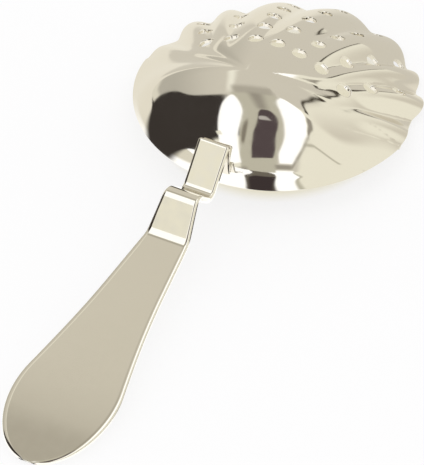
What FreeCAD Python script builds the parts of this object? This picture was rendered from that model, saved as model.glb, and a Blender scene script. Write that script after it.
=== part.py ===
import FreeCAD, Part

# Scallop-shell strainer for a mixing glass: a pierced, fluted bowl with a bent flat handle brazed
# to its wall. Every piece is drawn in the bowl's own frame, in millimetres: the circle that the
# bowl's smooth edge follows lies in z = 0 about the origin, the shell fans out towards +Y and the
# handle runs towards -Y. At the end one placement sets the whole strainer down on a table, dome
# upwards, on the lip of its shell and the end of its handle.
import math
import os

import Sketcher

Vec = FreeCAD.Vector

doc = FreeCAD.newDocument("scallop_strainer")
sheet = doc.addObject("Spreadsheet::Sheet", "sizes")

SIZES = [
    # the shell
    ("bowl_radius", 38.0),        # circle that the smooth edge by the handle follows
    ("bowl_height", 20.5),        # highest point of the dome above that edge
    ("peak_setback", 15.6),       # highest point, from the circle's centre towards the handle
    ("peak_roundness", 0.15),     # how softly the peak is rounded off, as a share of the fan
    ("fan_slope", 0.437),         # share of the fall that is straight down the fan's middle
    ("flank_slope", 0.301),       # how much more of it is straight towards the flanks
    ("fan_power", 2.855),         # how suddenly the rest of the fall comes, near the edge
    ("fan_reach", 1.0),           # how far the fan's middle passes the circle
    ("fan_end", 46.0),            # direction from the peak in which the edge is back on the circle
    ("flank_waist", 2.25),        # how far the edge is drawn in where the fan ends
    ("waist_turn", 59.0),         # direction from the peak of that waist
    ("waist_width", 6.0),         # half its width, as an angle
    ("lip_droop", 2.1),           # how far the fan's edge hangs below the smooth edge
    ("flank_droop", 1.05),        # how much more it hangs halfway to its flanks
    ("shell_gauge", 1.2),         # thickness of the pressed sheet
    ("furrow_1", 7.2),            # bearing of the furrow beside the middle ridge, about the hinge point
    ("furrow_2", 19.7),           # and of the next ones, on both sides
    ("furrow_3", 27.4),
    ("furrow_4", 36.0),
    ("furrow_5", 46.0),
    ("flute_rise", 0.85),         # half the height of a ridge above its furrows
    ("flute_start", 32.0),        # where the flutes begin, from the hinge point
    ("lobe_reach", 0.5),          # how far each ridge's lobe stands out past the edge
    # the draining holes, in rows that fan out, set out in shares of the bowl's radius
    ("hole_diameter", 4.0),       # in millimetres
    ("row_angle", 9.7),           # from one row to the next, about the hinge point
    ("first_hole", 1.0171),       # first hole of the middle row, from the hinge point
    ("row_step", 0.01),           # how the first hole moves out, row by row, times the row squared
    ("pitch_middle", 0.2395),     # from hole to hole along the middle row
    ("pitch_first", 0.2221),      # along the rows beside it
    ("pitch_second", 0.2516),     # along the rows next to those
    ("pitch_outer", 0.2313),      # along the outermost rows
    # the handle
    ("strap_gauge", 1.8),         # thickness of the handle's strip
    ("strap_width", 9.0),         # where it is brazed to the bowl
    ("crest_width", 9.8),         # over the crest of the hook
    ("knee_width", 12.4),         # where the strip bends into the grip
    ("braze_gap", 0.15),          # between the strip's end and the bowl's wall
    ("seat_height", 10.8),        # where the strip's end lies on the wall, above the smooth edge
    ("valley_reach", 7.5),        # bottom of the hook's notch, beyond the bowl's circle
    ("valley_height", 1.6),
    ("crest_reach", 15.9),        # beyond the bowl's circle, as the next two reaches are
    ("crest_height", 9.2),
    ("knee_reach", 24.5),
    ("knee_drop", 0.7),           # below the smooth edge
    ("grip_reach", 103.4),        # end of the grip
    ("grip_drop", 15.4),
    ("grip_width", 29.2),
    ("oval_length", 21.6),        # of the grip's oval end
    ("valley_radius", 1.8),       # inside of the bend at the bottom of the notch
    ("bend_radius", 1.0),         # inside of the other bends
    ("edge_round", 0.6),          # rounding of the strip's edges
    # the brazing
    ("braze_leg", 5.0),           # height of the fillet down the wall, under the strip
    ("braze_inset", 0.9),         # how far the fillet stops short of the strip's edges
    ("braze_clearance", 0.06),    # between the fillet and the wall
]
for row, (alias, value) in enumerate(SIZES, start=1):
    sheet.set("A%d" % row, alias)
    sheet.set("B%d" % row, repr(value))
    sheet.setAlias("B%d" % row, alias)
doc.recompute()


def size(alias):
    return float(sheet.get(alias))


# ---------------------------------------------------------------- the shell's surface

RADIUS = size("bowl_radius")
HEIGHT = size("bowl_height")
SETBACK = size("peak_setback")
GAUGE = size("shell_gauge")
FURROWS = [size("furrow_%d" % k) for k in range(1, 6)]
NEAR_TURN = 0.35                  # cosine band over which the dome's wall turns into the fan


def smooth_step(value):
    value = min(1.0, max(0.0, value))
    return value * value * (3.0 - 2.0 * value)


def fan_share(turn):
    """1 on the fan's side of the peak, 0 on the handle's, by the direction turned from +Y."""
    return smooth_step((math.cos(turn) + NEAR_TURN) / (2.0 * NEAR_TURN))


def turned_aside(turn):
    """The direction's angle from +Y to either side, in degrees."""
    return math.degrees(abs(math.atan2(math.sin(turn), math.cos(turn))))


def edge_distance(turn, drop=1.0):
    """Plan distance from the peak to the edge; its lobes come in only over the sheet's last part."""
    across = SETBACK * math.sin(turn)
    circle = SETBACK * math.cos(turn) + math.sqrt(RADIUS * RADIUS - across * across)
    fan = fan_share(turn)
    at_edge = Vec(circle * math.sin(turn), circle * math.cos(turn) - SETBACK, 0.0)
    lobes = size("lobe_reach") * flute(at_edge) * fan * smooth_step((drop - 0.55) / 0.45)
    aside = turned_aside(turn)
    waist = size("flank_waist") * math.exp(-((aside - size("waist_turn")) / size("waist_width")) ** 2)
    return circle + size("fan_reach") * smooth_step(1.0 - aside / size("fan_end")) - waist + lobes


def dome(turn, drop):
    """The dome without its flutes; drop is 0 at the peak and 1 at the edge."""
    fan = fan_share(turn)
    soft = size("peak_roundness")
    share = (1.0 - fan) * math.sin(0.5 * math.pi * drop) + fan * drop
    straight = size("fan_slope") + size("flank_slope") * math.sin(turn) ** 2
    run = (math.sqrt(drop * drop + soft * soft) - soft) / (math.sqrt(1.0 + soft * soft) - soft)
    halfway = math.sin(math.pi * min(1.0, turned_aside(turn) / 75.0)) ** 2
    droop = size("lip_droop") * smooth_step(1.3 * math.cos(turn)) + size("flank_droop") * halfway
    fan_fall = (HEIGHT + droop) * (
        straight * run + (1.0 - straight) * drop ** size("fan_power"))
    wall_fall = HEIGHT * (1.0 - math.cos(0.5 * math.pi * drop))
    reach = edge_distance(turn, drop) * share
    height = HEIGHT - (1.0 - fan) * wall_fall - fan * fan_fall
    return Vec(reach * math.sin(turn), reach * math.cos(turn) - SETBACK, height)


def normal(surface, turn, drop):
    """Outward normal of a surface of turn and drop, by differences."""
    step = 0.002
    drop = max(drop, 4.0 * step)
    along = surface(turn, drop + step).sub(surface(turn, drop - step))
    around = surface(turn + step, drop).sub(surface(turn - step, drop))
    out = around.cross(along)
    out.normalize()
    return out if out.z > -0.2 else out.multiply(-1.0)


def ridges_aside(bearing):
    """How many ridges a bearing lies from the middle one: 0 on it, and a half more in each furrow."""
    last, count = 0.0, 0.0
    for number, furrow in enumerate(FURROWS):
        if bearing < furrow:
            return count + (number + 0.5 - count) * (bearing - last) / (furrow - last)
        last, count = furrow, number + 0.5
    return count


def flute(point):
    """Height of the flutes over a plan point, from 1 on a ridge to -1 in a furrow."""
    bearing = math.degrees(abs(math.atan2(point.x, point.y + RADIUS)))
    ridges = ridges_aside(bearing)
    wave = math.sqrt(math.cos(math.pi * ridges) ** 2 + 0.03)
    inside = smooth_step(4.9 - ridges - max(0.0, bearing - FURROWS[-1]))
    far = math.hypot(point.x, point.y + RADIUS)
    grown = smooth_step((far - size("flute_start")) / (1.6 * RADIUS - size("flute_start")))
    return (2.0 * wave - 1.0) * inside * grown


def outer_skin(turn, drop):
    base = dome(turn, drop)
    rise = size("flute_rise") * flute(base)
    return base.add(normal(dome, turn, drop).multiply(rise))


def inner_skin(turn, drop):
    return outer_skin(turn, drop).sub(normal(outer_skin, turn, drop).multiply(GAUGE))


TURNS = 160                       # poles round the shell, closer together in the fan
DROPS = 15                        # poles from the peak to the edge


def skin_surface(skin):
    """A smooth closed surface whose poles lie on the skin."""
    rows = []
    for turn_index in range(TURNS):
        even = 2.0 * math.pi * turn_index / TURNS
        turn = even - 0.5 * math.sin(even)
        rows.append([skin(turn, k / (DROPS - 1.0)) for k in range(DROPS)])
    peak = sum((row[0] for row in rows), Vec()).multiply(1.0 / TURNS)
    for row in rows:
        row[0] = peak
    surface = Part.BSplineSurface()
    knots_round = list(range(TURNS + 1))
    knots_down = list(range(DROPS - 2))
    mults_down = [4] + [1] * (DROPS - 4) + [4]
    surface.buildFromPolesMultsKnots(rows, [1] * (TURNS + 1), mults_down, knots_round, knots_down,
                                     True, False, 3, 3)
    return surface


def edge_curve(surface):
    first, last, low, high = surface.bounds()
    return surface.vIso(high).toShape()


outer_surface = skin_surface(outer_skin)
inner_surface = skin_surface(inner_skin)
outer_edge = edge_curve(outer_surface)
inner_edge = edge_curve(inner_surface)
rim_face = Part.makeRuledSurface(outer_edge, inner_edge)


def closed_solid(faces):
    shell = Part.makeShell(faces)
    shell.sewShape()
    solid = Part.makeSolid(shell)
    if solid.Volume < 0.0:
        solid.reverse()
    return solid


shell_blank = doc.addObject("Part::Feature", "shell_blank")
shell_blank.Shape = closed_solid([outer_surface.toShape(), inner_surface.toShape(), rim_face])

# The draining holes are punched square to the sheet, in rows that fan out with the ridges.
PITCHES = ["pitch_middle", "pitch_first", "pitch_second", "pitch_outer"]
HOLES_IN_ROW = [5, 5, 4, 3]
punches = []
for row in range(-3, 4):
    ring = abs(row)
    bearing = math.radians(row * size("row_angle"))
    for number in range(HOLES_IN_ROW[ring]):
        far = RADIUS * (size("first_hole") + size("row_step") * ring ** 2 + number * size(PITCHES[ring]))
        across = far * math.sin(bearing)
        along = far * math.cos(bearing) - RADIUS + SETBACK
        turn = math.atan2(across, along)
        drop = math.hypot(across, along) / edge_distance(turn)
        out = normal(dome, turn, drop)
        punch = doc.addObject("Part::Cylinder", "punch_%d_%d" % (row + 4, number + 1))
        punch.setExpression("Radius", "sizes.hole_diameter / 2")
        punch.setExpression("Height", "6 * sizes.shell_gauge")
        start = outer_skin(turn, drop).sub(Vec(out).multiply(3.0 * GAUGE))
        punch.Placement = FreeCAD.Placement(start, FreeCAD.Rotation(Vec(0, 0, 1), out))
        punches.append(punch)
punch_set = doc.addObject("Part::Compound", "punch_set")
punch_set.Links = punches
shell_bowl = doc.addObject("Part::Cut", "shell_bowl")
shell_bowl.Label = "shell_bowl"
shell_bowl.Base = shell_blank
shell_bowl.Tool = punch_set
doc.recompute()

# ---------------------------------------------------------------- the handle


def origin_plane(body, role):
    return [f for f in body.Origin.OriginFeatures if f.Role == role][0]


def new_sketch(body, name, role):
    sketch = body.newObject("Sketcher::SketchObject", name)
    sketch.AttachmentSupport = [(origin_plane(body, role), "")]
    sketch.MapMode = "FlatFace"
    return sketch


def pin(sketch, geo, pos, left_of, above=None, below=None):
    """Ties a sketch point: so far left of the origin, and so far above or below it."""
    point = sketch.getPoint(geo, pos)
    index = sketch.addConstraint(Sketcher.Constraint("DistanceX", geo, pos, -1, 1, -point.x))
    sketch.setExpression("Constraints[%d]" % index, left_of)
    if above is not None:
        index = sketch.addConstraint(Sketcher.Constraint("DistanceY", -1, 1, geo, pos, point.y))
        sketch.setExpression("Constraints[%d]" % index, above)
    else:
        index = sketch.addConstraint(Sketcher.Constraint("DistanceY", geo, pos, -1, 1, -point.y))
        sketch.setExpression("Constraints[%d]" % index, below)


def line_cross(p, p_way, q, q_way):
    """Where two lines of a plane meet, each given by a point and a direction."""
    turn = p_way.x * q_way.y - p_way.y * q_way.x
    along = ((q.x - p.x) * q_way.y - (q.y - p.y) * q_way.x) / turn
    return p + Vec(p_way).multiply(along)


def out_from_centre(alias):
    return RADIUS + size(alias)


SEAT = size("seat_height")
WALL_DEPTH = RADIUS - SETBACK
BLANK_SPARE = 1.05                # the strip is bent longer than the grip, then trimmed to its oval
seat_share = SEAT / HEIGHT
seat_reach = SETBACK + WALL_DEPTH * math.sqrt(1.0 - seat_share ** 2) + size("braze_gap")
STRAP = size("strap_gauge")

# Side view of the strip, in the plane of Y and Z: its upper face, then its under face.
seat = Vec(-seat_reach, SEAT)     # the lower corner of its end, which lies on the wall
notch = Vec(-out_from_centre("valley_reach"), size("valley_height"))
span = notch.sub(seat)
swing = math.asin(STRAP / span.Length)
first_way = Vec(span.x * math.cos(swing) - span.y * math.sin(swing),
                span.x * math.sin(swing) + span.y * math.cos(swing))
tops = [notch.sub(Vec(first_way).multiply(math.cos(swing))), notch,
        Vec(-out_from_centre("crest_reach"), size("crest_height")),
        Vec(-out_from_centre("knee_reach"), -size("knee_drop")),
        Vec(-out_from_centre("grip_reach"), -size("grip_drop"))]
tops[4] = tops[3] + tops[4].sub(tops[3]).multiply(BLANK_SPARE)
ways = []
for one, two in zip(tops, tops[1:]):
    way = two.sub(one)
    way.normalize()
    ways.append(way)
downs = [Vec(-way.y, way.x) for way in ways]
unders = [seat]
for k in range(1, 4):
    unders.append(line_cross(tops[k] + Vec(downs[k - 1]).multiply(STRAP), ways[k - 1],
                             tops[k] + Vec(downs[k]).multiply(STRAP), ways[k]))
unders.append(tops[4] + Vec(downs[3]).multiply(STRAP))

handle_body = doc.addObject("PartDesign::Body", "handle")
handle_body.Label = "handle"
side_view = new_sketch(handle_body, "strip_side", "YZ_Plane")
for one, two in zip(tops, tops[1:]):
    side_view.addGeometry(Part.LineSegment(one, two), False)              # lines 0 to 3
for one, two in zip(unders, unders[1:]):
    side_view.addGeometry(Part.LineSegment(one, two), False)              # lines 4 to 7
side_view.addGeometry(Part.LineSegment(tops[0], unders[0]), False)        # line 8, by the wall
side_view.addGeometry(Part.LineSegment(tops[4], unders[4]), False)        # line 9, at the tip
joined = [(0, 2, 1, 1), (1, 2, 2, 1), (2, 2, 3, 1), (4, 2, 5, 1), (5, 2, 6, 1), (6, 2, 7, 1),
          (8, 1, 0, 1), (8, 2, 4, 1), (9, 1, 3, 2), (9, 2, 7, 2)]
for one, one_pos, two, two_pos in joined:
    side_view.addConstraint(Sketcher.Constraint("Coincident", one, one_pos, two, two_pos))
pin(side_view, 4, 1, "sizes.peak_setback + (sizes.bowl_radius - sizes.peak_setback)"
    " * sqrt(1 - (sizes.seat_height / sizes.bowl_height)^2) + sizes.braze_gap",
    above="sizes.seat_height")
pin(side_view, 1, 1, "sizes.bowl_radius + sizes.valley_reach", above="sizes.valley_height")
pin(side_view, 2, 1, "sizes.bowl_radius + sizes.crest_reach", above="sizes.crest_height")
pin(side_view, 3, 1, "sizes.bowl_radius + sizes.knee_reach", below="sizes.knee_drop")
pin(side_view, 3, 2, "sizes.bowl_radius + sizes.knee_reach"
    " + %g * (sizes.grip_reach - sizes.knee_reach)" % BLANK_SPARE,
    below="sizes.knee_drop + %g * (sizes.grip_drop - sizes.knee_drop)" % BLANK_SPARE)
for k in range(4):
    side_view.addConstraint(Sketcher.Constraint("Parallel", 4 + k, k))
    gauge = side_view.addConstraint(Sketcher.Constraint("Distance", 4 + k, 2, k, STRAP))
    side_view.setExpression("Constraints[%d]" % gauge, "sizes.strap_gauge")
side_view.addConstraint(Sketcher.Constraint("Perpendicular", 9, 3))
side_view.addConstraint(Sketcher.Constraint("Perpendicular", 8, 0))
doc.recompute()

strip = handle_body.newObject("PartDesign::Pad", "strip")
strip.Profile = side_view
strip.Midplane = True
strip.setExpression("Length", "sizes.grip_width + 2")
doc.recompute()


def cross_edges(shape, points):
    """Names of the edges that run across the strip through the given points of its side view."""
    names = []
    for index, edge in enumerate(shape.Edges, start=1):
        box = edge.BoundBox
        if box.YLength < 0.01 and box.ZLength < 0.01:
            if any(math.hypot(box.YMin - p.x, box.ZMin - p.y) < 0.05 for p in points):
                names.append("Edge%d" % index)
    return names


def bend(name, points, radius):
    bare = handle_body.Tip
    names = cross_edges(bare.Shape, points)
    feature = handle_body.newObject("PartDesign::Fillet", name)
    feature.Base = (bare, names)
    feature.setExpression("Radius", radius)
    handle_body.Tip = feature
    doc.recompute()
    return feature


bend("notch_inside", [tops[1]], "sizes.valley_radius")
bend("notch_outside", [unders[1]], "sizes.valley_radius + sizes.strap_gauge")
bend("bends_inside", [unders[2], tops[3]], "sizes.bend_radius")
bend("bends_outside", [tops[2], unders[3]], "sizes.bend_radius + sizes.strap_gauge")

# Plan of the strip: narrow at the bowl, flaring to a grip with an oval end.
GRIP_HALF = size("grip_width") / 2.0
OVAL = size("oval_length")
oval_y = OVAL - out_from_centre("grip_reach")
tangent = 0.30                    # share of the oval's length where the flare runs into it
flare_end = Vec(GRIP_HALF * math.sqrt(1.0 - tangent ** 2), oval_y + tangent * OVAL)
flare_way = Vec(GRIP_HALF * tangent / math.sqrt(1.0 - tangent ** 2) / OVAL, -1.0)
flare_way.normalize()
start_y = -seat_reach + 4.0
straight_y = -0.5 * (seat_reach + out_from_centre("valley_reach"))    # the strap's sides are straight to here
flank = [Vec(size("strap_width") / 2.0, straight_y),
         Vec(size("strap_width") / 2.0, -out_from_centre("valley_reach")),
         Vec(size("crest_width") / 2.0, -out_from_centre("crest_reach")),
         Vec(size("knee_width") / 2.0, -out_from_centre("knee_reach")), flare_end]


def flank_curve(side):
    points = [Vec(side * p.x, p.y) for p in flank]
    curve = Part.BSplineCurve()
    first = Vec(0.0, -1.0)
    last = Vec(side * flare_way.x, flare_way.y)
    curve.interpolate(Points=points, InitialTangent=first, FinalTangent=last)
    return curve


outline = new_sketch(handle_body, "strip_outline", "XY_Plane")
oval = Part.Ellipse(Vec(0.0, -out_from_centre("grip_reach")), Vec(GRIP_HALF, oval_y), Vec(0.0, oval_y))
right, left = Vec(flare_end), Vec(-flare_end.x, flare_end.y)
oval_arc = Part.ArcOfEllipse(oval, oval.parameter(right), oval.parameter(left))
if abs(oval_arc.length()) < 1.5 * GRIP_HALF or oval_arc.value(
        0.5 * (oval_arc.FirstParameter + oval_arc.LastParameter)).y > oval_y:
    oval_arc = Part.ArcOfEllipse(oval, oval.parameter(left), oval.parameter(right))
outline.addGeometry(oval_arc, False)
outline.addGeometry(flank_curve(1.0), False)
outline.addGeometry(flank_curve(-1.0), False)
corner = Vec(flank[0].x, start_y)
outline.addGeometry(Part.LineSegment(flank[0], corner), False)
outline.addGeometry(Part.LineSegment(corner, Vec(-corner.x, start_y)), False)
outline.addGeometry(Part.LineSegment(Vec(-corner.x, start_y), Vec(-flank[0].x, flank[0].y)), False)
wide, far_y, near_y = GRIP_HALF + 6.0, tops[4].x - 6.0, start_y + 6.0
frame = [Vec(-wide, far_y), Vec(wide, far_y), Vec(wide, near_y), Vec(-wide, near_y)]
for one, two in zip(frame, frame[1:] + frame[:1]):
    outline.addGeometry(Part.LineSegment(one, two), False)
doc.recompute()
bent = handle_body.Tip
trim = handle_body.newObject("PartDesign::Pocket", "trim")
trim.Profile = outline
trim.Type = "ThroughAll"
trim.Midplane = True
doc.recompute()
if not 0.0 < trim.Shape.Volume < bent.Shape.Volume:
    raise RuntimeError("the outline trims nothing off the strip")

# All the strip's long edges are rounded, and the ones at its end by the wall with them.
names = []
for index, edge in enumerate(trim.Shape.Edges, start=1):
    faces = trim.Shape.ancestorsOfType(edge, Part.Face)
    flat = []
    for face in faces:
        u, v = face.Surface.parameter(edge.valueAt(0.5 * (edge.FirstParameter + edge.LastParameter)))
        flat.append(face.normalAt(u, v))
    if len(flat) == 2 and flat[0].dot(flat[1]) < 0.6:
        names.append("Edge%d" % index)
rounded = handle_body.newObject("PartDesign::Fillet", "rounded")
rounded.Base = (trim, names)
rounded.setExpression("Radius", "sizes.edge_round")
handle_body.Tip = rounded
doc.recompute()

# ---------------------------------------------------------------- the brazing

# A fillet of filler metal between the underside of the strip's end and the bowl's wall.
braze_body = doc.addObject("PartDesign::Body", "braze_body")
braze_view = new_sketch(braze_body, "braze_side", "YZ_Plane")
leg = size("braze_leg")


def wall_at(height):
    return Vec(-SETBACK - WALL_DEPTH * math.sqrt(max(0.0, 1.0 - (height / HEIGHT) ** 2)), height)


foot = wall_at(max(0.6, SEAT - leg))
out_along = seat + Vec(ways[0]).multiply(0.75 * leg)
buried = Vec(0.5 * GAUGE, 0.0)
corners = [seat, out_along, foot, foot + buried, wall_at(SEAT) + buried]
braze_view.addGeometry(Part.LineSegment(seat, out_along), False)
hollow = (out_along + foot).multiply(0.5)
hollow.x += 0.35 * (wall_at(hollow.y).x - hollow.x)
braze_view.addGeometry(Part.Arc(out_along, hollow, foot), False)
for one, two in zip(corners[2:], corners[3:] + corners[:1]):
    braze_view.addGeometry(Part.LineSegment(one, two), False)
doc.recompute()
filler = braze_body.newObject("PartDesign::Pad", "filler")
filler.Profile = braze_view
filler.Midplane = True
filler.setExpression("Length", "sizes.strap_width - 2 * sizes.braze_inset")
wall_former = doc.addObject("Part::Feature", "wall_former")
wall_former.Shape = shell_blank.Shape.copy()
wall_former.Placement = FreeCAD.Placement(Vec(0.0, -size("braze_clearance"), 0.0), FreeCAD.Rotation())
braze_seam = doc.addObject("Part::Cut", "braze_seam")
braze_seam.Label = "braze_seam"
braze_seam.Base = braze_body
braze_seam.Tool = wall_former
doc.recompute()

# ---------------------------------------------------------------- at rest on the table

pieces = [shell_bowl, handle_body, braze_seam]
for thing in doc.Objects:
    if "Invalid" in thing.State or "Error" in thing.State:
        raise RuntimeError("%s failed: %s" % (thing.Name, thing.State))
for piece in pieces:
    if piece.Shape.isNull() or not piece.Shape.isValid() or len(piece.Shape.Solids) != 1:
        raise RuntimeError("%s is not one sound solid" % piece.Label)

lip_points = shell_bowl.Shape.tessellate(0.05)[0]
grip_points = handle_body.Shape.tessellate(0.05)[0]


def lowest(points, tilt):
    return min(p.y * math.sin(tilt) + p.z * math.cos(tilt) for p in points)


low, high = math.radians(-15.0), math.radians(5.0)
for turn in range(40):            # the tilt at which lip and grip touch the table together
    tilt = 0.5 * (low + high)
    if lowest(lip_points, tilt) < lowest(grip_points, tilt):
        low = tilt
    else:
        high = tilt
stance = FreeCAD.Placement(Vec(), FreeCAD.Rotation(Vec(1, 0, 0), math.degrees(tilt)))
turned = [stance.multVec(p) for p in lip_points + grip_points]
middle_y = 0.5 * (min(p.y for p in turned) + max(p.y for p in turned))
stance = FreeCAD.Placement(Vec(0.0, -middle_y, -min(p.z for p in turned)), stance.Rotation)

os.makedirs("parts", exist_ok=True)
for piece in pieces:
    piece.Placement = stance.multiply(piece.Placement)
doc.recompute()
for piece in pieces:
    box = piece.Shape.BoundBox
    print(piece.Label, round(piece.Shape.Volume, 2), [round(v, 2) for v in (
        box.XMin, box.XMax, box.YMin, box.YMax, box.ZMin, box.ZMax)])
    piece.Shape.exportStep("parts/%s.step" % piece.Label)
print("tilt", round(math.degrees(tilt), 3), "middle", round(middle_y, 3), "lift", round(stance.Base.z, 3))
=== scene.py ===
import math

import bpy
import numpy as np
from mathutils import Matrix, Vector
from mathutils.geometry import delaunay_2d_cdt


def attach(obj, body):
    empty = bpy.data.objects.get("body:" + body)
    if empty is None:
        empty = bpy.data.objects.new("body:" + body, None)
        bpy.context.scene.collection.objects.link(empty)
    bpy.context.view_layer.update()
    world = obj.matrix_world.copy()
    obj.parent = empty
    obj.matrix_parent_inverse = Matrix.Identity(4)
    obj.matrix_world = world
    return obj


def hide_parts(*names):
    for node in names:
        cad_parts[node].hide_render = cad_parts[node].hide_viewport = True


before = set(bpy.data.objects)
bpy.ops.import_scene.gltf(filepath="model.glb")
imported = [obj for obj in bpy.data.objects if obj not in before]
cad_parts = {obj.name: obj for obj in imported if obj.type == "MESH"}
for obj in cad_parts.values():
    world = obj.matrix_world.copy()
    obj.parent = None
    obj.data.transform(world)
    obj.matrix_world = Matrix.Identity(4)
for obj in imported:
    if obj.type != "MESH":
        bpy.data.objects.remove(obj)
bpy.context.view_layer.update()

# ---------------------------------------------------------------- the shell
# The bowl is one sheet of silvered metal, 1.2 mm thick, pressed over a scallop-shaped former,
# trimmed along its lobed lip, pierced along the ridges and polished to a mirror. It is worked out
# in its own frame, in millimetres and degrees, and then set down in the strainer's resting pose.
TILT, SET_BACK, LIFT = math.radians(-4.381), 51.203, 6.305
RADIUS, HEIGHT, PEAK, GAUGE = 38.0, 20.5, 15.6, 1.2
FAN_BLEND, FAN_REACH, FAN_END = 0.35, 1.0, 46.0
FLANK_WAIST, WAIST_TURN, WAIST_WIDTH = 2.25, 59.0, 6.0
CROWN, FAN_SLOPE, FLANK_SLOPE, FAN_POWER = 0.15, 0.437, 0.301, 2.855
LIP_DROOP, DROOP_FADE, FLANK_DROOP, FLANK_END = 2.1, 1.3, 1.05, 75.0
FURROWS, FURROW_SOFTNESS = [7.2, 19.7, 27.4, 36.0, 46.0], 0.03
FLUTE_START, FLUTE_FULL, FLUTE_RISE = 32.0, 1.6 * RADIUS, 0.85
LOBE_START, LOBE_REACH = 0.55, 0.5


def stand(points):
    """Turns points or directions of the bowl's frame about X by the tilt."""
    x, y, z = np.moveaxis(np.asarray(points, float), -1, 0)
    c, s = math.cos(TILT), math.sin(TILT)
    return np.stack([x, y * c - z * s, y * s + z * c], -1)


def to_table(points):
    """Stands points up and moves them to the strainer's place on the table, in metres."""
    return (stand(points) + np.array([0.0, SET_BACK, LIFT])) / 1000.0


def ease(v):
    """Smooth step from 0 to 1: three times the square less twice the cube."""
    v = np.clip(v, 0.0, 1.0)
    return v * v * (3.0 - 2.0 * v)


def fluting(x, y):
    """Height of the flutes, about 1 on a ridge and -1 in a furrow: twice the size of a cosine that
    makes half a turn from furrow to furrow, less 1, by bearing from the point where the rows meet."""
    bearing = np.degrees(np.abs(np.arctan2(x, y + RADIUS)))
    far = np.hypot(x, y + RADIUS)
    ridges = np.interp(bearing, [0.0] + FURROWS, [0.0] + [k + 0.5 for k in range(len(FURROWS))])
    wave = np.sqrt(np.cos(math.pi * ridges) ** 2 + FURROW_SOFTNESS)
    inside = ease(len(FURROWS) - 0.1 - ridges - np.maximum(0.0, bearing - FURROWS[-1]))
    grown = ease((far - FLUTE_START) / (FLUTE_FULL - FLUTE_START))
    return (2.0 * wave - 1.0) * inside * grown


def bare_dome(turn, drop):
    """The dome before fluting, by direction from its peak and share of the way down to its lip: a
    quarter ellipse for the steep wall by the handle, and a straight slope plus a power of the drop
    for the long fan away from it."""
    cos, sin = np.cos(turn), np.sin(turn)
    fan = ease((cos + FAN_BLEND) / (2.0 * FAN_BLEND))
    aside = np.degrees(np.abs(np.arctan2(sin, cos)))
    circle = PEAK * cos + np.sqrt(RADIUS ** 2 - (PEAK * sin) ** 2)
    late = ease((drop - LOBE_START) / (1.0 - LOBE_START))
    lobes = LOBE_REACH * fluting(circle * sin, circle * cos - PEAK) * fan * late
    waist = FLANK_WAIST * np.exp(-((aside - WAIST_TURN) / WAIST_WIDTH) ** 2)
    reach = circle + FAN_REACH * ease(1.0 - aside / FAN_END) - waist + lobes
    share = (1.0 - fan) * np.sin(0.5 * math.pi * drop) + fan * drop
    straight = FAN_SLOPE + FLANK_SLOPE * sin ** 2
    run = (np.sqrt(drop ** 2 + CROWN ** 2) - CROWN) / (math.sqrt(1.0 + CROWN ** 2) - CROWN)
    halfway = np.sin(math.pi * np.minimum(1.0, aside / FLANK_END)) ** 2
    droop = LIP_DROOP * ease(DROOP_FADE * cos) + FLANK_DROOP * halfway
    fall = (HEIGHT + droop) * (straight * run + (1.0 - straight) * np.abs(drop) ** FAN_POWER)
    wall = HEIGHT * (1.0 - np.cos(0.5 * math.pi * drop))
    return np.stack([reach * share * sin, reach * share * cos - PEAK,
                     HEIGHT - (1.0 - fan) * wall - fan * fall], -1)


def facing(skin, turn, drop):
    """Outward unit normal of a skin: the cross product of its differences along and around it."""
    step, downward = 0.002, -0.2
    drop = np.maximum(drop, 4.0 * step)
    out = np.cross(skin(turn + step, drop) - skin(turn - step, drop),
                   skin(turn, drop + step) - skin(turn, drop - step))
    out /= np.linalg.norm(out, axis=-1, keepdims=True)
    return np.where(out[..., 2:] < downward, -out, out)


def outer_skin(turn, drop):
    """The dome pushed out along its normals on the ridges, and in along the furrows."""
    base = bare_dome(turn, drop)
    flutes = fluting(base[..., 0], base[..., 1])[..., None]
    return base + FLUTE_RISE * flutes * facing(bare_dome, turn, drop)


def skin_over(plan):
    """Points and normals of the outer skin over a unit disk: its middle is the peak, its rim the lip."""
    turn, drop = np.arctan2(plan[..., 0], plan[..., 1]), np.hypot(plan[..., 0], plan[..., 1])
    return outer_skin(turn, drop), facing(outer_skin, turn, drop)


# Round holes of 4 mm stand in rows that fan out over the ridges. For each row aside from the middle
# one come its number of holes and their pitch; the rows start farther out towards the flanks.
HOLE, HOLE_ROLL, AROUND = 2.0, 0.32, 40
ROW_ANGLE, FIRST_HOLE, ROW_STEP = math.radians(9.7), 38.65, 0.38
ROWS = {0: (5, 9.1), 1: (5, 8.44), 2: (4, 9.56), 3: (3, 8.79)}
holes = []
for row, (count, pitch) in ROWS.items():
    for side in ((1,) if row == 0 else (1, -1)):
        bearing = side * row * ROW_ANGLE
        for number in range(count):
            far = FIRST_HOLE + ROW_STEP * row ** 2 + number * pitch
            x, y = far * math.sin(bearing), far * math.cos(bearing) - RADIUS
            turn = math.atan2(x, y + PEAK)
            edge = bare_dome(np.array(turn), np.array(1.0))
            drop = math.hypot(x, y + PEAK) / math.hypot(edge[0], edge[1] + PEAK)
            holes.append((drop * math.sin(turn), drop * math.cos(turn)))
holes = np.array(holes)


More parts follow.
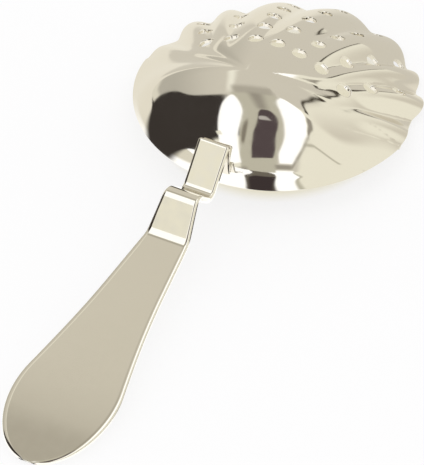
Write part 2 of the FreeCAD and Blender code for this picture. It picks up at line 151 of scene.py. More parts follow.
def hole_rings(centre):
    """Four rings round a hole, round on the dome: a circle in the dome's tangent plane, carried to
    the plan by the inverse of the dome's slopes there."""
    step, spread = 1e-3, (0.0, 0.15, 0.4, 0.8)
    normal = skin_over(centre)[1]
    across, ahead = ((skin_over(centre + way)[0] - skin_over(centre - way)[0]) / (2.0 * step)
                     for way in (np.array([step, 0.0]), np.array([0.0, step])))
    e1 = across / np.linalg.norm(across)
    e2 = np.cross(normal, e1)
    to_plan = np.linalg.inv([[across @ e1, ahead @ e1], [across @ e2, ahead @ e2]])
    phi = np.linspace(0.0, 2.0 * math.pi, AROUND, endpoint=False)
    circle = np.stack([np.cos(phi), np.sin(phi)], -1)
    return [centre + (HOLE + HOLE_ROLL + wider) * circle @ to_plan.T for wider in spread]


def outside(plan, centre, ring):
    """Which points of the plan lie beyond a ring, by comparing reaches at the same bearing."""
    clearance = 1.08
    arms, ring_arms = plan - centre, ring - centre
    ring_spin = np.arctan2(*ring_arms.T)
    order = np.argsort(ring_spin)
    limit = np.interp(np.arctan2(*arms.T), ring_spin[order], np.hypot(*ring_arms.T)[order],
                      period=2.0 * math.pi)
    return np.hypot(*arms.T) > limit * clearance


# The sheet's plan is a net of rings, opened round each hole, and the same net makes both faces.
LIP_POINTS, LIP_DROP, WITHIN_LIP, LIP_ROLL = 480, 0.9945, 0.99, 0.28
NET_DROPS = np.concatenate([np.linspace(0.0, 0.965, 62), [0.978, 0.988]])
NET_POINTS, MERGE_WITHIN = 400, 1e-9
rings = np.array([hole_rings(centre) for centre in holes])
net = []
for drop in NET_DROPS:
    count = max(1, int(NET_POINTS * drop ** 0.9))
    turns = np.linspace(0.0, 2.0 * math.pi, count, endpoint=False) + drop
    net.append(drop * np.stack([np.sin(turns), np.cos(turns)], -1))
net = np.concatenate(net)
for centre, hole_set in zip(holes, rings):
    net = net[outside(net, centre, hole_set[-1])]
lip_turn = np.linspace(0.0, 2.0 * math.pi, LIP_POINTS, endpoint=False)
lip = LIP_DROP * np.stack([np.sin(lip_turn), np.cos(lip_turn)], -1)
plan = np.concatenate([lip, rings.reshape(-1, 2), net])
lip_ids = np.arange(LIP_POINTS)
hole_ids = LIP_POINTS + np.arange(len(holes))[:, None] * rings.shape[1] * AROUND + np.arange(AROUND)
loops = [lip_ids] + list(hole_ids)
edges = np.concatenate([np.stack([loop, np.roll(loop, -1)], -1) for loop in loops])
cut = delaunay_2d_cdt([Vector(p) for p in plan], edges.tolist(), [], 0, MERGE_WITHIN)
where = np.array([[v.x, v.y] for v in cut[0]])
origin = np.array([ids[0] if ids else -1 for ids in cut[3]])
tris = np.array([f for f in cut[2] if len(f) == 3])

# Triangles whose corners all stand on one hole's edge would fill the hole.
hole_of = np.full(len(plan), -1)
hole_of[hole_ids] = np.arange(len(holes))[:, None]
owners = np.where(origin >= 0, hole_of[origin], -1)[tris]
tris = tris[(owners[:, 0] < 0) | (owners != owners[:, :1]).any(1)]
kept = np.flatnonzero(origin >= 0)
new_of = np.full(len(plan), -1)
new_of[origin[kept]] = kept
outer, normals = skin_over(where)
a, b, c = (outer[tris[:, k]] for k in range(3))
inward = (np.cross(b - a, c - a) * normals[tris[:, 0]]).sum(1) < 0
tris[inward] = tris[inward][:, ::-1]
inner = outer - GAUGE * normals
points, bearings, faces = [outer, inner], [normals, -normals], [tris, tris[:, ::-1] + len(outer)]


def in_sheet(arms, loop):
    """Unit arms laid into the sheet: each loses its share along the sheet's normal."""
    arms = arms - (arms * normals[loop]).sum(1, keepdims=True) * normals[loop]
    return arms / np.linalg.norm(arms, axis=1, keepdims=True)


def close_edge(loop, outward, roll):
    """Closes a cut edge from the outer to the inner face: a quarter round, a straight wall and a
    quarter round, which stand out by the roll times the sine of an angle from 0 to half a turn."""
    first, steps = sum(len(part) for part in points), 6
    quarter = np.linspace(0.0, 0.5 * math.pi, steps)
    angle = np.concatenate([quarter, quarter + 0.5 * math.pi])
    depth = roll * (1.0 - np.cos(angle))
    depth[steps:] = GAUGE - roll * (1.0 + np.cos(angle[steps:]))
    angle, depth = angle[1:-1, None, None], depth[1:-1, None, None]
    rows = outer[loop] + roll * np.sin(angle) * outward - depth * normals[loop]
    tilts = np.cos(angle) * normals[loop] + np.sin(angle) * outward
    points.append(rows.reshape(-1, 3))
    bearings.append(tilts.reshape(-1, 3))
    index = np.concatenate([[loop], first + np.arange(rows[..., 0].size).reshape(rows.shape[:2]),
                            [loop + len(outer)]])
    one, two = index[:-1], index[1:]
    quads = np.stack([one, two, np.roll(two, -1, 1), np.roll(one, -1, 1)], -1).reshape(-1, 4)
    spots, ways = np.concatenate(points), np.concatenate(bearings)
    face = np.cross(spots[quads[:, 1]] - spots[quads[:, 0]], spots[quads[:, 2]] - spots[quads[:, 0]])
    if (face * ways[quads].sum(1)).sum() < 0:
        quads = quads[:, ::-1]
    faces.append(np.concatenate([quads[:, [0, 1, 2]], quads[:, [0, 2, 3]]]))


for centre, ids in zip(holes, hole_ids):
    loop = new_of[ids]
    close_edge(loop, in_sheet(skin_over(centre)[0] - outer[loop], loop), HOLE_ROLL)
lip_loop = new_of[lip_ids]
at_lip, within = (outer_skin(lip_turn, np.full(LIP_POINTS, drop)) for drop in (LIP_DROP, WITHIN_LIP))
close_edge(lip_loop, in_sheet(at_lip - within, lip_loop), LIP_ROLL)


def smooth_mesh(name, verts, vert_normals, polygons):
    """A mesh object from arrays, shaded by the exact normals of the surface it samples."""
    mesh = bpy.data.meshes.new(name)
    mesh.from_pydata(verts.tolist(), [], polygons.tolist())
    mesh.polygons.foreach_set("use_smooth", np.ones(len(mesh.polygons), bool))
    mesh.normals_split_custom_set_from_vertices(vert_normals.tolist())
    mesh.update()
    thing = bpy.data.objects.new(name, mesh)
    bpy.context.scene.collection.objects.link(thing)
    return thing


shell = smooth_mesh("pressed_shell", to_table(np.concatenate(points)), stand(np.concatenate(bearings)),
                    np.concatenate(faces))
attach(shell, "root")
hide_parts("shell_bowl")


def set_inputs(node, **values):
    """Sets a node's inputs by their names, written with _ for a blank."""
    for name, value in values.items():
        node.inputs[name.replace("_", " ")].default_value = value


def noise(tree, coords, scale, detail):
    """A noise over the piece's own coordinates."""
    node = tree.nodes.new("ShaderNodeTexNoise")
    set_inputs(node, Scale=scale, Detail=detail)
    tree.links.new(coords.outputs["Object"], node.inputs["Vector"])
    return node.outputs["Fac"]


def silver(name, tint, worn_tint, gloss, worn_gloss):
    """Polished silver, nearly a mirror: a broad noise blends its two tints, a fine one its two
    glosses like faint polishing marks, and a third bends it as little as a pressed sheet bends."""
    mat = bpy.data.materials.new(name)
    mat.use_nodes = True
    tree = mat.node_tree
    skin = tree.nodes["Principled BSDF"]
    set_inputs(skin, Metallic=1.0)
    coords = tree.nodes.new("ShaderNodeTexCoord")
    ramp = tree.nodes.new("ShaderNodeMix")
    ramp.data_type = "RGBA"
    set_inputs(ramp, A=(*tint, 1.0), B=(*worn_tint, 1.0))
    tree.links.new(noise(tree, coords, scale=38.0, detail=3.0), ramp.inputs["Factor"])
    tree.links.new(ramp.outputs["Result"], skin.inputs["Base Color"])
    rough = tree.nodes.new("ShaderNodeMapRange")
    set_inputs(rough, From_Min=0.35, From_Max=0.7, To_Min=gloss, To_Max=worn_gloss)
    tree.links.new(noise(tree, coords, scale=420.0, detail=4.0), rough.inputs["Value"])
    tree.links.new(rough.outputs["Result"], skin.inputs["Roughness"])
    bump = tree.nodes.new("ShaderNodeBump")
    set_inputs(bump, Strength=0.05, Distance=0.0004)
    tree.links.new(noise(tree, coords, scale=60.0, detail=2.0), bump.inputs["Height"])
    tree.links.new(bump.outputs["Normal"], skin.inputs["Normal"])
    return mat


shell.data.materials.append(silver("shell_silver", (0.90, 0.88, 0.83), (0.87, 0.84, 0.78), 0.04, 0.09))

# ---------------------------------------------------------------- the handle
# One strip of the same metal, 1.8 mm thick with rounded edges. Its square end lies on the bowl's
# wall, it is bent over the edge to a notch, up to a crest and down to a knee, and flares to an oval
# grip. A point of its side view is (forward, up), and the grip is behind, where forward is negative.
STRIP, CORNER = 1.8, 0.62
SEAT_HEIGHT, SEAT_LIFT = 10.8, 0.15
NOTCH, CREST, KNEE, GRIP_END = [-45.5, 1.6], [-53.9, 9.2], [-62.5, -0.7], [-141.4, -15.4]
BEND_RADII = [1.8, 1.3, 4.0]
ARCH, ARCH_FROM, GRIND, GRIND_FROM, GRIND_SPAN = 1.6, 64.0, 0.35, 126.0, 15.4
ARCH_SPAN = -GRIP_END[0] - ARCH_FROM
SEAT_ROUND, END_ROUND = 0.075, 0.27
EDGE_WIDTHS, EDGE_WIDENS, MOST_EDGE, LEAST_CORNER = [0.75, 1.5], [58.0, 68.0], 0.45, 1e-4
WIDTHS_AT = np.array([30.0, 45.5, 53.9, 62.5, 85.0, 113.3])
HALF_WIDTHS = np.array([4.5, 4.5, 4.9, 6.2, 8.85, 13.93])
FLARES = np.array([0.0, 0.01, 0.10, 0.13, 0.13, 0.2126])
OVAL_MIDDLE, OVAL_LENGTH, OVAL_HALF_WIDTH = 119.8, 21.6, 14.6


def crossed(a, b):
    """Cross product of two directions in side view."""
    return a[0] * b[1] - a[1] * b[0]


def rotated(way, angle):
    """A direction in side view turned by an angle, or by an array of angles."""
    c, s = np.cos(angle), np.sin(angle)
    return np.stack([way[0] * c - way[1] * s, way[0] * s + way[1] * c], -1)


def side_path(tops, radii, run_shares):
    """The strip's middle line in side view and its upward normals, from the corners of its top
    face and the shares at which each run gets its points: straight runs, cut short by a bend's
    radius times the tangent of half its turn, and arcs about a hub on the bend's inner side."""
    ways = np.diff(tops, axis=0)
    ways /= np.linalg.norm(ways, axis=1, keepdims=True)
    overs = np.stack([ways[:, 1], -ways[:, 0]], -1)
    depth, last_run = 0.5 * STRIP, len(ways) - 1
    middles = [tops[0] - depth * overs[0]]
    for k in range(1, len(ways)):
        gap = depth * (overs[k - 1] - overs[k])
        slide = ways[k - 1] * crossed(gap, ways[k]) / crossed(ways[k - 1], ways[k])
        middles.append(tops[k] - depth * overs[k - 1] + slide)
    middles.append(tops[-1] - depth * overs[-1])
    line, ups, start = [], [], middles[0]
    for k, shares in enumerate(run_shares):
        turn = 0.0 if k == last_run else math.acos(np.clip(ways[k] @ ways[k + 1], -1.0, 1.0))
        radius = 0.0 if k == last_run else radii[k] + depth
        setback = radius * math.tan(0.5 * turn)
        end = middles[k + 1] - setback * ways[k]
        line.append(start + np.outer(shares, end - start))
        ups.append(np.repeat(overs[k][None], len(shares), 0))
        if k < last_run:
            side = np.sign(crossed(ways[k], ways[k + 1]))
            up = rotated(overs[k], side * np.linspace(0.0, turn, 15)[1:-1])
            hub_side = 1.0 if ways[k + 1] @ overs[k] > 0 else -1.0
            hub = end + hub_side * radius * overs[k]
            line.append(hub - hub_side * radius * up)
            ups.append(up)
            start = middles[k + 1] + setback * ways[k + 1]
    return np.concatenate(line), np.concatenate(ups)


def half_width(reach):
    """Half the strip's width: cubics between given widths and flares, then the grip's half oval."""
    k = np.clip(np.searchsorted(WIDTHS_AT, reach) - 1, 0, len(WIDTHS_AT) - 2)
    gap = WIDTHS_AT[k + 1] - WIDTHS_AT[k]
    t = np.clip((reach - WIDTHS_AT[k]) / gap, 0.0, 1.0)
    cubic = ((2 * t ** 3 - 3 * t ** 2 + 1) * HALF_WIDTHS[k] + (t ** 3 - 2 * t ** 2 + t) * gap * FLARES[k]
             + (3 * t ** 2 - 2 * t ** 3) * HALF_WIDTHS[k + 1] + (t ** 3 - t ** 2) * gap * FLARES[k + 1])
    oval = OVAL_HALF_WIDTH * np.sqrt(np.clip(1.0 - ((reach - OVAL_MIDDLE) / OVAL_LENGTH) ** 2, 0.0, 1.0))
    return np.where(reach < WIDTHS_AT[-1], cubic, oval)


def rounding(left):
    """How far a face draws in near an end, by the length that is left: a quarter round."""
    share = np.clip(left / CORNER, 0.0, 1.0)
    return CORNER * (1.0 - np.sqrt(1.0 - (1.0 - share) ** 2))


# The strip's end lies on the wall at the seat, so its top passes one thickness above that point: the
# line from there to the notch is turned by the angle whose sine is the thickness over its length.
seat_reach = PEAK + (RADIUS - PEAK) * math.sqrt(1.0 - (SEAT_HEIGHT / HEIGHT) ** 2) + SEAT_LIFT
span = np.array(NOTCH) - [-seat_reach, SEAT_HEIGHT]
swing = math.asin(STRIP / np.hypot(*span))
seat = np.array(NOTCH) - rotated(span, swing) * math.cos(swing)
quarter = np.linspace(0.0, 0.5 * math.pi, 7)
seat_run = np.concatenate([SEAT_ROUND * (1.0 - np.cos(quarter)), np.linspace(0.1, 1.0, 10)])
short_run = np.linspace(0.0, 1.0, 12)
end_round = 1.0 - END_ROUND * (1.0 - np.sin(np.linspace(0.0, 0.5 * math.pi, 60)))
grip_run = np.concatenate([np.linspace(0.0, 0.7, 60)[:-1], np.linspace(0.7, 0.73, 4)[:-1], end_round])
line, ups = side_path(np.array([seat, NOTCH, CREST, KNEE, GRIP_END]), BEND_RADII,
                      [seat_run, short_run, short_run, grip_run])

# The grip is slightly arched along its length, and its top is ground thinner towards the end.
reach = -line[:, 0]
share = np.clip((reach - ARCH_FROM) / ARCH_SPAN, 0.0, 1.0)
heading = np.gradient(line, axis=0)
heading /= np.linalg.norm(heading, axis=1, keepdims=True)
line = line + (ARCH * (share - share ** 4))[:, None] * ups
slope = np.where(share > 0.0, ARCH / ARCH_SPAN * (1.0 - 4.0 * share ** 3), 0.0)
ups = ups - slope[:, None] * heading
ups /= np.linalg.norm(ups, axis=1, keepdims=True)
heading = np.gradient(line, axis=0)
heading /= np.linalg.norm(heading, axis=1, keepdims=True)
travel = np.concatenate([[0.0], np.cumsum(np.hypot(*np.diff(line, axis=0).T))])
ground = GRIND * np.clip((reach - GRIND_FROM) / GRIND_SPAN, 0.0, 1.0) ** 2
butt_in, tip_in = rounding(travel), rounding(travel[-1] - travel)
half = np.maximum(half_width(reach) - butt_in, 0.0)
thick = 0.5 * STRIP - butt_in - tip_in
wide = np.minimum(np.interp(reach, EDGE_WIDENS, EDGE_WIDTHS), MOST_EDGE * half)
corner = np.maximum(0.999 * np.minimum(np.minimum(CORNER - butt_in, half), thick), LEAST_CORNER)

# Across, the strip is flat above and below, with a quarter of an ellipse at each of its four edges.
half, thick, wide, corner, ground = (v[:, None] for v in (half, thick, wide, corner, ground))
quarter = np.linspace(0.0, 0.5 * math.pi, 8)
flat_share = np.linspace(-1.0, 1.0, 15)[None, 1:-1]
level_rows = np.ones((len(line), flat_share.size))
section = []
for side, above in ((1, 1), (-1, 1), (-1, -1), (1, -1)):
    turn = quarter if side == above else quarter[::-1]
    level = thick - ground * (above > 0)
    rise, run = corner * np.cos(turn), wide * np.sin(turn)
    steep = np.hypot(rise, run)
    section.append((side * ((half - wide) + wide * np.cos(turn)),
                    above * ((level - corner) + corner * np.sin(turn)),
                    side * rise / steep, above * run / steep))
    if side == above:
        section.append(((half - wide) * flat_share * -side, above * level * level_rows,
                        0.0 * level_rows, above * level_rows))
across, height, normal_across, normal_up = (np.concatenate(v, 1) for v in zip(*section))
middle_y, middle_z, up_y, up_z = (v[:, None] for v in (*line.T, *ups.T))
strip_points = np.stack([across, middle_y + height * up_y, middle_z + height * up_z], -1)
strip_normals = np.stack([normal_across, normal_up * up_y, normal_up * up_z], -1)

# The normals lean back where the strip flares, forward where it is ground, and back at its butt.
butt = np.clip(travel / CORNER, 0.0, 1.0)[:, None]
spread = np.clip(np.gradient(half[:, 0], travel), -3.0, 3.0)[:, None]
grinding = np.gradient(ground[:, 0], travel)[:, None]
lean = grinding * np.maximum(normal_up, 0.0) - spread * np.abs(normal_across) - (1.0 - butt)
strip_normals[..., 1:] += lean[..., None] * heading[:, None]
strip_normals /= np.linalg.norm(strip_normals, axis=-1, keepdims=True)
rows, columns = across.shape
grid = np.arange(rows * columns).reshape(rows, columns)
one, two = grid[:-1], grid[1:]
quads = np.stack([one, np.roll(one, -1, 1), np.roll(two, -1, 1), two], -1).reshape(-1, 4)
butt_hub, tip_hub = np.full(columns, rows * columns), np.full(columns, rows * columns + 1)
ends = [np.stack([grid[0], butt_hub, np.roll(grid[0], -1)], -1),
        np.stack([grid[-1], np.roll(grid[-1], -1), tip_hub], -1)]
tris = np.concatenate([quads[:, [0, 1, 2]], quads[:, [0, 2, 3]], *ends])
spots = np.concatenate([strip_points.reshape(-1, 3), strip_points[[0, -1]].mean(1)])
end_ways = np.array([[0.0, *-heading[0]], [0.0, *heading[-1]]])
ways = np.concatenate([strip_normals.reshape(-1, 3), end_ways])
face = np.cross(spots[tris[:, 1]] - spots[tris[:, 0]], spots[tris[:, 2]] - spots[tris[:, 0]])
if (face * ways[tris].sum(1)).sum() < 0:
    tris = tris[:, ::-1]
handle = smooth_mesh("bent_handle", to_table(spots), stand(ways), tris)
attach(handle, "root")
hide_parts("handle")
handle.data.materials.append(silver("handle_silver", (0.90, 0.87, 0.80), (0.86, 0.83, 0.75), 0.06, 0.12))

# ---------------------------------------------------------------- the brazing
# A small fillet of filler metal under the strip's end, which joins it to the bowl's wall. It is
# polished with the rest, but comes out a little duller and yellower.
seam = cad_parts["braze_seam"]
seam.data.materials.clear()
seam.data.materials.append(silver("filler_metal", (0.80, 0.76, 0.68), (0.72, 0.68, 0.60), 0.16, 0.3))

# ---------------------------------------------------------------- the table
# A white board, which the camera sees plain but for a painted shade under the bowl. What the polished
# metal mirrors of it is its painted gleam: a painted reflection, brighter and darker stretches with painted
# shade, in millimetres to the right and towards the front, for whoever stands where the camera does.
AZIMUTH = math.radians(29.6)
WHITE, PALE, IVORY = (1.25, 1.25, 1.25), (0.903, 0.876, 0.75), (0.85, 0.81, 0.70)
CREAM, BACK, TRIM = (0.776, 0.741, 0.632), (0.665, 0.63, 0.545), (0.555, 0.531, 0.437)
DARK, FOOT, FOOT_CORE = (0.045, 0.038, 0.034), (0.16, 0.142, 0.115), (0.05, 0.038, 0.038)
BOARD, BOARD_SPAN, BOARD_GLOW = (0.92, 0.92, 0.92), 3.0, 0.72
# The open board's light, the cream of the painted shade and painted bounce light under the bowl, and that
# disk's radius and soft edge.
OPEN_LIGHT, BOWL_LIGHT = (1.03, 1.03, 1.04), (0.86, 0.80, 0.60)
BOWL_SHADE, BOWL_SHADE_EDGE = 0.031, 0.003


def calc(tree, kind, *values):
    """A maths node on sockets or numbers."""
    node = tree.nodes.new("ShaderNodeMath")
    node.operation = kind
    for socket, value in zip(node.inputs, values):
        if isinstance(value, (int, float)):
            socket.default_value = value
        else:
            tree.links.new(value, socket)
    return node.outputs[0]


def along(tree, coords, vector):
    """How far a point or a direction lies along a vector."""
    node = tree.nodes.new("ShaderNodeVectorMath")
    node.operation = "DOT_PRODUCT"
    tree.links.new(coords, node.inputs[0])
    node.inputs[1].default_value = vector
    return node.outputs["Value"]


def room_axes():
    """Vectors to the right, to the front and up, for whoever stands in front of the table."""
    c, s = math.cos(AZIMUTH), math.sin(AZIMUTH)
    return (c, s, 0.0), (s, -c, 0.0), (0.0, 0.0, 1.0)


def blend(tree, factor, under, over):
    """Blends two colours, each a socket or three numbers."""
    node = tree.nodes.new("ShaderNodeMix")
    node.data_type = "RGBA"
    tree.links.new(factor, node.inputs["Factor"])
    for name, colour in (("A", under), ("B", over)):
        if isinstance(colour, tuple):
            node.inputs[name].default_value = (*colour, 1.0)
        else:
            tree.links.new(colour, node.inputs[name])
    return node.outputs["Result"]


def hem(tree, v, points):
    """A number for each v, from (v, number) points joined by a smooth curve; a plain number stays one."""
    if isinstance(points, (int, float)):
        return points
    lows, highs = np.min(points, axis=0), np.max(points, axis=0)
    spans = np.maximum(highs - lows, 1e-6)
    node = tree.nodes.new("ShaderNodeFloatCurve")
    curve = node.mapping.curves[0]
    shares = (np.array(sorted(points)) - lows) / spans
    curve.points[0].location, curve.points[1].location = shares[0], shares[-1]
    for x, y in shares[1:-1]:
        curve.points.new(x, y)
    node.mapping.update()
    share = calc(tree, "DIVIDE", calc(tree, "SUBTRACT", v, float(lows[0])), float(spans[0]))
    tree.links.new(share, node.inputs["Value"])
    return calc(tree, "MULTIPLY_ADD", node.outputs[0], float(spans[1]), float(lows[1]))


def inside(tree, value, low, high, soft):
    """1 where a value lies between two limits, fading to 0 over a soft edge; None is no limit."""
    mask = None
    for one, other in ((value, low), (high, value)):
        if one is None or other is None:
            continue
        fade = tree.nodes.new("ShaderNodeMapRange")
        fade.interpolation_type = "SMOOTHSTEP"
        set_inputs(fade, From_Min=-soft, From_Max=soft)
        tree.links.new(calc(tree, "SUBTRACT", one, other), fade.inputs["Value"])
        part = fade.outputs["Result"]
        mask = part if mask is None else calc(tree, "MULTIPLY", mask, part)
    return mask


def hang(tree, under, u, v, *stretches):
    """Hangs stretches of colour one over another over what is there: cloths of the tent, or the painted
    reflection and painted shade of the board's gleam. Each has a colour, two sides, each a number
    or a curve of v, two ends, and how soft its sides and its ends are."""
    for colour, sides, ends, (side_soft, end_soft) in stretches:
        sides = [None if side is None else hem(tree, v, side) for side in sides]
        mask = inside(tree, u, *sides, side_soft)
        if ends != (None, None):
            across = inside(tree, v, *ends, end_soft)
            mask = across if mask is None else calc(tree, "MULTIPLY", mask, across)
        under = blend(tree, mask, under, colour)
    return under


def seen_by(tree):
    """Two factors: 1 for what a mirror's rays meet, and 1 for what the camera meets straight or
    through glass."""
    path = tree.nodes.new("ShaderNodeLightPath")
    straight = calc(tree, "MAXIMUM", path.outputs["Is Camera Ray"], path.outputs["Is Transmission Ray"])
    return path.outputs["Is Glossy Ray"], straight


# The board's painted gleam, met only by mirror rays: a painted reflection of the tent's walls, fold, back
# and the dark foot of its slit, and a painted shadow from its open side.
right_side = (
    PALE, ([(-60, 30), (0, 33), (20, 35), (40, 40), (60, 49), (110, 57), (400, 110)], None),
    (-60, None), (1.5, 10))
right_side_trim = (
    TRIM, ([(0, 32), (20, 34), (40, 39), (60, 47), (110, 55), (400, 105)],
           [(0, 34.5), (20, 37), (40, 42), (60, 51), (110, 60), (400, 115)]),
    (0, None), (1.2, 6))
left_side = CREAM, (None, -24), (None, 34), (4, 4)
back_stretch = IVORY, (None, None), (None, -42), (1, 16)
fold_mirrored = (
    BACK, ([(-400, -60), (-190, -60), (-109, -16), (-95, -4)], [(-400, 10), (-100, 6)]),
    (None, -95), (8, 6))
back_corner = BACK, (44, None), (None, -60), (8, 14)
foot_of_slit = (
    FOOT, ([(-8, 17), (0, 12), (11, 7), (32, -3), (60, -16), (110, -28), (400, -130)],
           [(-8, 25), (0, 24), (10, 22.5), (20, 21.5), (60, 20.5), (110, 19), (400, -10)]),
    (-8, None), (1.2, 3))
foot_core = (
    FOOT_CORE, ([(-8, 18), (0, 13), (11, 8.5), (32, 0), (50, -6), (90, -10)],
                [(-8, 24), (0, 23), (10, 21.5), (20, 20.8), (90, 19.5)]),
    (-8, 85), (1.5, 12))
open_side_shadow = (
    DARK, ([(-400, -240), (-125, -84), (-15, -34)], [(-400, 145), (-125, 24), (-15, -20)]),
    (None, -14), (3, 4))

table_mesh = bpy.data.meshes.new("table_top")
table_corners = [(BOARD_SPAN * x, BOARD_SPAN * y, 0) for x, y in ((-1, -1), (1, -1), (1, 1), (-1, 1))]
table_mesh.from_pydata(table_corners, [], [(0, 1, 2, 3)])
table_top = bpy.data.objects.new("table_top", table_mesh)
bpy.context.scene.collection.objects.link(table_top)
board = bpy.data.materials.new("white_board")
board.use_nodes = True
tree = board.node_tree
paint = tree.nodes["Principled BSDF"]
set_inputs(paint, Base_Color=(*BOARD, 1.0), Roughness=0.9, Specular_IOR_Level=0.0)
spot = tree.nodes.new("ShaderNodeTexCoord").outputs["Object"]
across, ahead = (calc(tree, "MULTIPLY", along(tree, spot, axis), 1000.0) for axis in room_axes()[:2])
# The painted reflection and painted shade, laid over glowing white, which only mirror rays meet.
painted_gleam = hang(tree, WHITE, across, ahead, right_side, right_side_trim, left_side, back_stretch,
             fold_mirrored, back_corner, foot_of_slit, foot_core)
painted_gleam = hang(tree, painted_gleam, ahead, across, open_side_shadow)
# A painted shade with painted light thrown off the metal: a cream disk on the board under the bowl, which
# the camera sees through the holes.
bowl_middle = tree.nodes.new("ShaderNodeVectorMath")
bowl_middle.operation = "DISTANCE"
tree.links.new(spot, bowl_middle.inputs[0])
bowl_middle.inputs[1].default_value = (0.0, SET_BACK / 1000.0, 0.0)
painted_shade_under_bowl = inside(tree, bowl_middle.outputs["Value"], None, BOWL_SHADE, BOWL_SHADE_EDGE)
light = blend(tree, painted_shade_under_bowl, OPEN_LIGHT, BOWL_LIGHT)
mirror_ray, straight_ray = seen_by(tree)
glow = tree.nodes.new("ShaderNodeEmission")
tree.links.new(blend(tree, mirror_ray, light, painted_gleam), glow.inputs["Color"])
coat = tree.nodes.new("ShaderNodeMixShader")
glowing = calc(tree, "ADD", calc(tree, "MULTIPLY", straight_ray, BOARD_GLOW), mirror_ray)
for socket, source in zip(coat.inputs, (glowing, paint.outputs[0], glow.outputs[0])):
    tree.links.new(source, socket)
tree.links.new(coat.outputs[0], tree.nodes["Material Output"].inputs["Surface"])
table_mesh.materials.append(board)

# ---------------------------------------------------------------- the tent
# The table stands in a tent of pale cloth, open on the left and slit in front for the lens. The
# camera sees plain white instead of it, but the metal mirrors it. Places in it are in degrees from
# straight up: across to the right, and down towards the front.
BUFF, FOLD, DUSK = (0.675, 0.635, 0.539), (0.50, 0.475, 0.41), (0.46, 0.43, 0.365)
SHADE, BROWN, SLIT = (0.345, 0.319, 0.268), (0.244, 0.218, 0.172), (0.091, 0.069, 0.072)
GAP, RIM, CHINK = (0.06, 0.05, 0.035), (0.50, 0.47, 0.44), (0.93, 0.91, 0.80)
PLAIN, SOFT_LIGHT = (1.0, 1.0, 1.0), (0.97, 0.96, 0.94)
LEFT_HEM = [(-17, -14), (-10, -12.5), (0, -12.5), (10, -15.5), (20, -20), (30, -24.5), (40, -28),
            (50, -31), (60, -34), (72, -37)]

back_past_fold = (
    FOLD, ([(-92, -38), (-75, -49), (-60, -59), (-45, -68), (-25, -76)], None), (-94, None), (3.5, 10))
back_wall = BACK, ([(-92, -12), (-60, -26), (-25, -40)], None), (None, None), (20, 5)
right_wall = (
    PALE, ([(-110, 44), (-44, 45.5), (-37, 43), (-31, 34), (-22, 27), (0, 25)], None), (None, None), (3, 8))
right_wall_far_end = BUFF, (58, None), (None, -24), (14, 10)
corner_gap = (
    GAP, ([(-78, 43.7), (-50, 44.7), (-42, 45.2), (-36.5, 44)],
          [(-78, 45.2), (-50, 46.6), (-42, 47.8), (-36.5, 48)]), (-78, -36.5), (0.7, 1.5))
back_chink = CHINK, ([(-60, -5), (-22, -18.5)], [(-60, -1), (-22, -14)]), (-60, -24), (2, 8)
shade_over_slit = DUSK, (-13, 11), (-30.8, 0), (2.5, 3.8)
right_wall_seam = TRIM, (26, None), (38.5, 43.5), (3, 2.2)
open_side = (
    DARK, ([(-130, -56), (-108, -44), (-69, -38), (-55, -33), (-42, -22), (-14, -18.5)],
           [(-130, 8), (-111, 29), (-97, 36), (-80, 38), (-40, 36), (-14, 34)]), (None, -20), (1.5, 5))
front_left = PALE, (-52, -10), (36, None), (3, 4)
slit_hems = (
    TRIM, ([(-20, -16), (0, -14), (10, -17), (72, -38)],
           [(-20, 11.5), (0, 12.5), (20, 12.5), (40, 10), (60, 3.5), (72, 1)]), (-21, 90), (1.5, 2))
slit_top_shade = SHADE, ([(-20, -3), (0, -1)], [(-20, 5), (0, 5)]), (-22, -1), (3, 3)
left_hem_shade = (
    BROWN, ([(14, -13.5), (24, -19), (45, -26.5)], [(14, -11.5), (24, -15), (45, -24)]), (14, 45), (1.2, 5))
white_left_of_slit = (
    WHITE, ([(-18, -16.5), (-10, -24), (0, -30), (10, -35), (20, -39.5), (30, -43.5), (72, -58)], LEFT_HEM),
    (-18, 71.5), (1, 1.5))
turned_back_flap = PALE, (-44.4, -39.8), (25.8, 31), (0.8, 0.8)
lens_slit = (
    SLIT, ([(-1, 1), (3, -1.5), (10, -3.5), (20, -7), (30, -11.5), (40, -15), (50, -18.5), (60, -21.5),
            (67, -23.5)],
           [(-1, 5), (3, 8), (10, 9.5), (20, 8.5), (30, 6), (40, 4), (50, 2.5), (60, 0), (67, -3)]),
    (-1, 66), (0.8, 0.8))
lamp_rim = RIM, ([(7, 0.5), (10, -3), (14, -2.5)], [(7, 2.5), (10, 4), (14, 6)]), (7.5, 12.5), (0.8, 1)
white_right_of_slit = (
    WHITE, ([(-31, 33), (-28, 25), (-24, 19), (-18, 13), (-14, 11.5), (0, 12.3), (10, 13), (20, 12.8),
             (30, 12), (40, 10), (50, 7), (60, 4), (74, 3)],
            [(-35, 36), (-30, 41), (-20, 41.5), (-10, 39), (0, 37), (10, 33), (20, 29), (30, 26.5),
             (40, 25), (50, 23), (60, 20), (74, 16)]), (-31, 74), (1, 1.5))
right_hem = (
    SHADE, ([(-22, 43), (-10, 40.5), (0, 38.5), (10, 34.5), (20, 30.2), (30, 27.5), (50, 23.8), (76, 16)],
            [(-22, 48), (-10, 47), (0, 45), (10, 40), (20, 34), (30, 29), (50, 25.4), (76, 18)]),
    (-24, 82), (1.6, 2))
slit_foot_shade = SHADE, (-2, 15), (76.5, 84), (2.5, 1.5)
slit_foot_white = WHITE, (-3, 17), (86.5, None), (1.5, 1.5)
left_foot_shade = SHADE, (None, -34), (78, None), (3, 3)
left_foot_white = WHITE, (None, -48), (81, None), (3, 2)

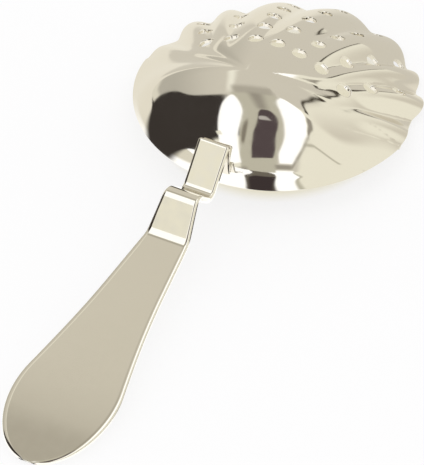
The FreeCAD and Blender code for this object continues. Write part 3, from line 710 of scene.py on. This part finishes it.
world = bpy.data.worlds.new("tent")
bpy.context.scene.world = world
world.use_nodes = True
tree = world.node_tree
tree.nodes.clear()
ray = tree.nodes.new("ShaderNodeTexCoord").outputs["Generated"]
right, front, up = (along(tree, ray, axis) for axis in room_axes())
lean = calc(tree, "MULTIPLY", calc(tree, "ARCCOSINE", up), 180.0 / math.pi)
squares = calc(tree, "MULTIPLY_ADD", right, right, calc(tree, "MULTIPLY", front, front))
per = calc(tree, "DIVIDE", lean, calc(tree, "MAXIMUM", calc(tree, "SQRT", squares), 1e-4))
x, y = calc(tree, "MULTIPLY", right, per), calc(tree, "MULTIPLY", front, per)
room = hang(tree, CREAM, x, y, back_past_fold, back_wall, right_wall, right_wall_far_end, corner_gap,
            back_chink, shade_over_slit, right_wall_seam)
room = hang(tree, room, y, x, open_side)
room = hang(tree, room, x, y, front_left, slit_hems, slit_top_shade, left_hem_shade, white_left_of_slit,
            turned_back_flap, lens_slit, lamp_rim, white_right_of_slit, right_hem, slit_foot_shade,
            slit_foot_white, left_foot_shade, left_foot_white)
tent, plain, soft = (tree.nodes.new("ShaderNodeBackground") for _ in range(3))
tree.links.new(room, tent.inputs["Color"])
set_inputs(plain, Color=(*PLAIN, 1.0))
set_inputs(soft, Color=(*SOFT_LIGHT, 1.0))
mirror_ray, straight_ray = seen_by(tree)
mirrored, seen = tree.nodes.new("ShaderNodeMixShader"), tree.nodes.new("ShaderNodeMixShader")
for mix, sources in ((mirrored, (mirror_ray, soft.outputs[0], tent.outputs[0])),
                     (seen, (straight_ray, mirrored.outputs[0], plain.outputs[0]))):
    for socket, source in zip(mix.inputs, sources):
        tree.links.new(source, socket)
tree.links.new(seen.outputs[0], tree.nodes.new("ShaderNodeOutputWorld").inputs["Surface"])

# ---------------------------------------------------------------- the camera
# A long lens about 5 m away, above the table and to the right of the handle, so that straight lines
# hardly converge. It looks down on the shell's dome and has the grip at the lower left.
FOCAL_LENGTH, SENSOR, NEAR, FAR = 1450.0, 36.0, 0.1, 20.0
VIEW_RIGHT, VIEW_UP = (0.8876, 0.45951, -0.03154), (-0.3092, 0.64524, 0.69859)
VIEW_BACK, LENS_PLACE = (0.3413, -0.61032, 0.71484), (1.68378, -2.99779, 3.51611)
lens = bpy.data.cameras.new("lens")
lens.lens, lens.sensor_width = FOCAL_LENGTH, SENSOR
lens.clip_start, lens.clip_end = NEAR, FAR
camera = bpy.data.objects.new("camera", lens)
bpy.context.scene.collection.objects.link(camera)
bpy.context.scene.camera = camera
camera.matrix_world = Matrix([(*VIEW_RIGHT, 0.0), (*VIEW_UP, 0.0), (*VIEW_BACK, 0.0),
                              (*LENS_PLACE, 1.0)]).transposed()
bpy.context.scene.view_settings.view_transform = "Standard"
